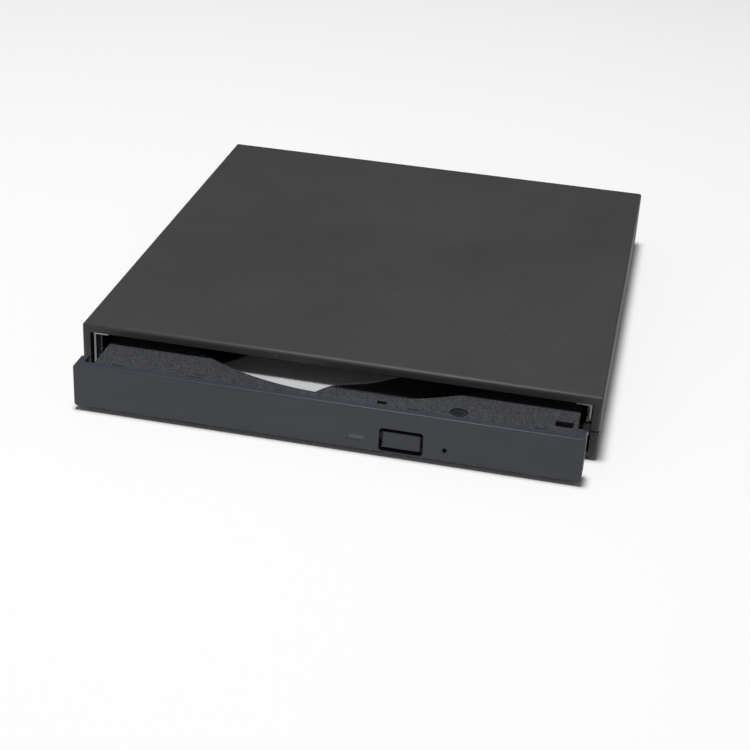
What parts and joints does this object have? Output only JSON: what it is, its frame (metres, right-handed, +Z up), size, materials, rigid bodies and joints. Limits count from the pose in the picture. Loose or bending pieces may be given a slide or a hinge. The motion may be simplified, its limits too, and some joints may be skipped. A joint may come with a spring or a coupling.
{
  "type": "external optical drive",
  "caption": "External optical drive in a flat black plastic case, its slim disc tray standing out a little way in front",
  "frame": {"origin": "centre of the footprint on the table, with the tray standing out 13.3 mm in front of the case", "axes": "+Z up, +X to the right of the user facing the bezel, +Y from the bezel back to the rear sockets"},
  "size_m": [0.133, 0.1534, 0.0178],
  "materials": {
    "case_plastic": "matte",
    "foot_rubber": "matte",
    "zinc_steel": "satin",
    "screw_steel": "satin",
    "black_screw_steel": "satin",
    "slide_plastic": "satin",
    "rail_steel": "polished",
    "board_green": "satin",
    "chip_black": "matte",
    "connector_black": "satin",
    "connector_cream": "satin",
    "socket_steel": "satin",
    "ground_steel": "polished",
    "spring_steel": "polished",
    "flex_film": "satin",
    "tray_plastic": "matte",
    "bezel_plastic": "satin",
    "clear_plastic": "satin",
    "led_resin": "satin",
    "switch_metal": "satin",
    "copper_winding": "satin",
    "plate_steel": "satin",
    "frame_steel": "satin",
    "damper_rubber": "matte",
    "motor_steel": "satin",
    "lever_steel": "satin",
    "table_plastic": "matte",
    "hub_metal": "satin",
    "claw_plastic": "satin",
    "sled_metal": "satin",
    "lens_holder_plastic": "matte",
    "wire_copper": "polished",
    "lens_glass": "polished"
  },
  "bodies": {
    "case": {"top_cover": "case_plastic", "bottom_case": "case_plastic", "rubber_feet": "foot_rubber", "case_screws": "screw_steel", "chassis_bottom": "zinc_steel", "chassis_top": "zinc_steel", "chassis_screws": "screw_steel", "left_rail_guide": "slide_plastic", "right_rail_guide": "slide_plastic", "main_board": "board_green", "main_board_chips": "chip_black", "drive_connector": "connector_black", "bridge_connector": "connector_cream", "bridge_board": "board_green", "bridge_chips": "chip_black", "board_screws": "screw_steel", "usb_socket": "socket_steel", "dc_socket": "connector_black", "rear_bracket": "zinc_steel", "bracket_screw": "screw_steel", "latch_post": "ground_steel", "eject_guide_pin": "ground_steel", "eject_spring": "spring_steel", "flex_cable": "flex_film"},
    "left_rail": {"left_rail": "rail_steel"},
    "right_rail": {"right_rail": "rail_steel"},
    "tray": {"tray": "tray_plastic", "bezel": "bezel_plastic", "light_pipe": "clear_plastic", "tray_screw": "black_screw_steel", "tray_board": "board_green", "indicator_led": "led_resin", "eject_switch": "switch_metal", "latch_solenoid": "copper_winding", "tray_bottom_cover": "zinc_steel", "mechanism_cover": "plate_steel", "cover_screws": "screw_steel", "traverse_frame": "frame_steel", "rubber_dampers": "damper_rubber", "damper_screws": "screw_steel", "spindle_motor": "motor_steel", "guide_rods": "ground_steel", "sled_motor": "motor_steel"},
    "eject_button": {"eject_button": "bezel_plastic"},
    "latch_lever": {"latch_lever": "lever_steel"},
    "turntable": {"turntable": "table_plastic", "disc_hub": "hub_metal", "hub_claws": "claw_plastic"},
    "sled": {"pickup_sled": "sled_metal", "pickup_cover": "zinc_steel", "suspension_wires": "wire_copper"},
    "lens": {"lens_frame": "lens_holder_plastic", "objective_lens": "lens_glass"},
    "lead_screw": {"lead_screw": "ground_steel"}
  },
  "joints": [
    {"name": "tray_slide", "type": "slide", "parent": "case", "child": "tray", "axis": [0, -1, 0], "range_m": [-0.008, 0.114], "deforming": ["eject_spring", "flex_cable"]},
    {"name": "left_rail_slide", "type": "slide", "parent": "case", "child": "left_rail", "axis": [0, -1, 0], "range_m": [-0.0045, 0.0575]},
    {"name": "right_rail_slide", "type": "slide", "parent": "case", "child": "right_rail", "axis": [0, -1, 0], "range_m": [-0.0045, 0.0575]},
    {"name": "eject_button_press", "type": "slide", "parent": "tray", "child": "eject_button", "axis": [0, 1, 0], "range_m": [0, 0.0006], "stiffness_N_per_m": 200},
    {"name": "latch_swing", "type": "hinge", "parent": "tray", "child": "latch_lever", "pos_m": [0.044, -0.06865, 0.0043], "axis": [0, 0, 1], "range_deg": [0, 10]},
    {"name": "turntable_spin", "type": "hinge", "parent": "tray", "child": "turntable", "pos_m": [0, -0.01175, 0.0108], "axis": [0, 0, 1], "continuous": true},
    {"name": "sled_slide", "type": "slide", "parent": "tray", "child": "sled", "axis": [-0.6428, -0.766, 0], "range_m": [-0.0021, 0.0301]},
    {"name": "lead_screw_spin", "type": "hinge", "parent": "tray", "child": "lead_screw", "pos_m": [-0.03215, -0.02393, 0.0061], "axis": [-0.6428, -0.766, 0], "continuous": true},
    {"name": "lens_focus", "type": "slide", "parent": "sled", "child": "lens", "axis": [0, 0, 1], "range_m": [-0.0003, 0.0003], "stiffness_N_per_m": 30}
  ],
  "couplings": [
    {"joint": "left_rail_slide", "follows": "tray_slide", "ratio": 0.5},
    {"joint": "right_rail_slide", "follows": "tray_slide", "ratio": 0.5}
  ]
}
